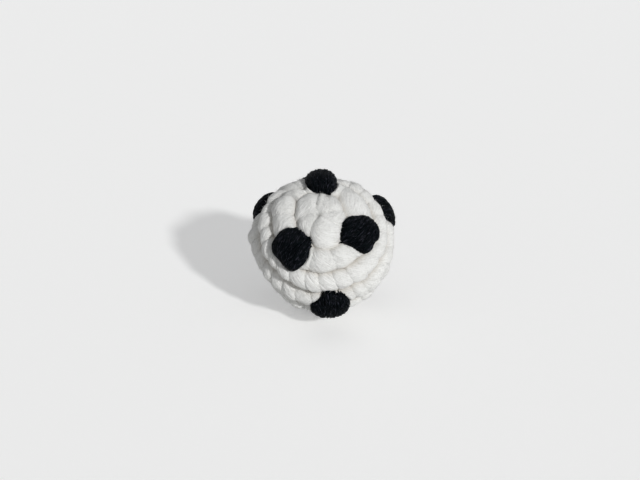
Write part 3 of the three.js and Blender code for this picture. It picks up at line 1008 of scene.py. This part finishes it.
# The depth below the crown, in millimetres, past which no hair stands.
DEEPEST_ROOT = 2.5


def hair_roots(piece):
    """A piece's points that face outwards near the crown and stand clear of the floor, and their normals."""
    mesh = piece.data
    points = np.empty(len(mesh.vertices) * 3, np.float32)
    normals = np.empty(len(mesh.vertices) * 3, np.float32)
    depth = np.empty(len(mesh.vertices), np.float32)
    mesh.vertices.foreach_get("co", points)
    mesh.vertices.foreach_get("normal", normals)
    mesh.attributes["depth"].data.foreach_get("value", depth)
    points, normals = points.reshape(-1, 3), normals.reshape(-1, 3)
    outward = (normals * unit(points - BALL_CENTRE)).sum(axis=-1)
    fit = (depth < DEEPEST_ROOT) & (outward > LEAST_OUTWARD) & (points[:, 2] > LOWEST_ROOT)
    return points[fit], normals[fit]


def fuzz(name, pieces, material, count, length, seed):
    """Hairs from random points of the pieces: a line that rises along the surface normal, lies over to one
    side and curls with the square of its length, in rings of three points that taper to the tip."""
    rng = np.random.default_rng(seed)
    roots, normals = [np.concatenate(found).astype(float) for found in zip(*map(hair_roots, pieces))]
    chosen = rng.choice(len(roots), count, replace=False)
    roots, normals = roots[chosen], unit(normals[chosen])
    aside = unit(np.cross(normals, rng.normal(size=(count, 3))))
    across = np.cross(normals, aside)
    reach = rng.uniform(HAIR_SHORTEST, 1, (count, 1, 1)) * length
    rise = rng.uniform(HAIR_LEAST_RISE, HAIR_MOST_RISE, (count, 1, 1))
    curl = rng.normal(size=(count, 1, 1)) * HAIR_CURL
    step = np.linspace(0, 1, HAIR_RINGS)[None, :, None]
    way = rise * step * normals[:, None] + step * aside[:, None] + curl * step**2 * across[:, None]
    line = roots[:, None] + reach * way - ROOT_BELOW * normals[:, None]
    radius = HAIR_RADIUS * (1 - HAIR_TAPER * step)
    turn = 2 * math.pi * np.arange(HAIR_SIDES) / HAIR_SIDES
    ring = np.cos(turn)[:, None] * normals[:, None, None] - np.sin(turn)[:, None] * across[:, None, None]
    lengths = np.broadcast_to(step[..., 0] * length, (count, HAIR_RINGS))
    hairs = Shells()
    hairs.add_tubes(line[:, :, None] + radius[..., None] * ring, lengths)
    made = hairs.make(name, material)


fuzz("white_fuzz", cover, white_yarn, count=8200, length=2.2 * MM, seed=5)
fuzz("black_fuzz", black_patches, black_yarn, count=2400, length=1.6 * MM, seed=6)


# The floor and the light of a plain studio: a broad soft lamp to the front right and above, a pale world
# that fills the shadows, and a pale matte floor. What the camera sees of the floor and the world is lifted.

FLOOR_RADIUS = 4.0
FLOOR_SIDES = 96
FLOOR_COLOUR = (0.82, 0.82, 0.81, 1)
FLOOR_LIFT = (0.34, 0.34, 0.34, 1)
NO_LIFT = (0, 0, 0, 1)
WORLD_COLOUR = (0.97, 0.98, 1.0, 1)
WORLD_STRENGTH = 0.28
WORLD_LIFT = 0.58
LAMP_DIRECTION = Vector((0.47, -0.73, 0.47))
LAMP_STRENGTH = 2.0
LAMP_SOFTNESS = math.radians(4)


def seen(paint):
    """1 for what the camera sees, straight or by a glossy or clear surface, and 0 for what only lights."""
    rays = paint.node("ShaderNodeLightPath").source.node.outputs
    straight, glossy, clear = [
        Shade(paint, rays[name]) for name in ("Is Camera Ray", "Is Glossy Ray", "Is Transmission Ray")
    ]
    return straight + glossy + clear


bpy.ops.mesh.primitive_circle_add(vertices=FLOOR_SIDES, radius=FLOOR_RADIUS, fill_type="NGON")
floor = bpy.context.object
floor.name = "floor"
floor_paint = Paint("floor", Base_Color=FLOOR_COLOUR, Roughness=0.9, Emission_Strength=1.0)
floor_paint.feed("Emission Color", floor_paint.mix(seen(floor_paint), NO_LIFT, FLOOR_LIFT))
floor.data.materials.append(floor_paint.material)

world_paint = Paint("studio", bpy.data.worlds, "Background", Color=WORLD_COLOUR)
world_paint.feed("Strength", WORLD_STRENGTH + seen(world_paint) * WORLD_LIFT)
bpy.context.scene.world = world_paint.material

lamp = bpy.data.objects.new("studio_lamp", bpy.data.lights.new("studio_lamp", "SUN"))
lamp.data.energy = LAMP_STRENGTH
lamp.data.angle = LAMP_SOFTNESS
lamp.rotation_euler = LAMP_DIRECTION.to_track_quat("Z", "Y").to_euler()
bpy.context.scene.collection.objects.link(lamp)
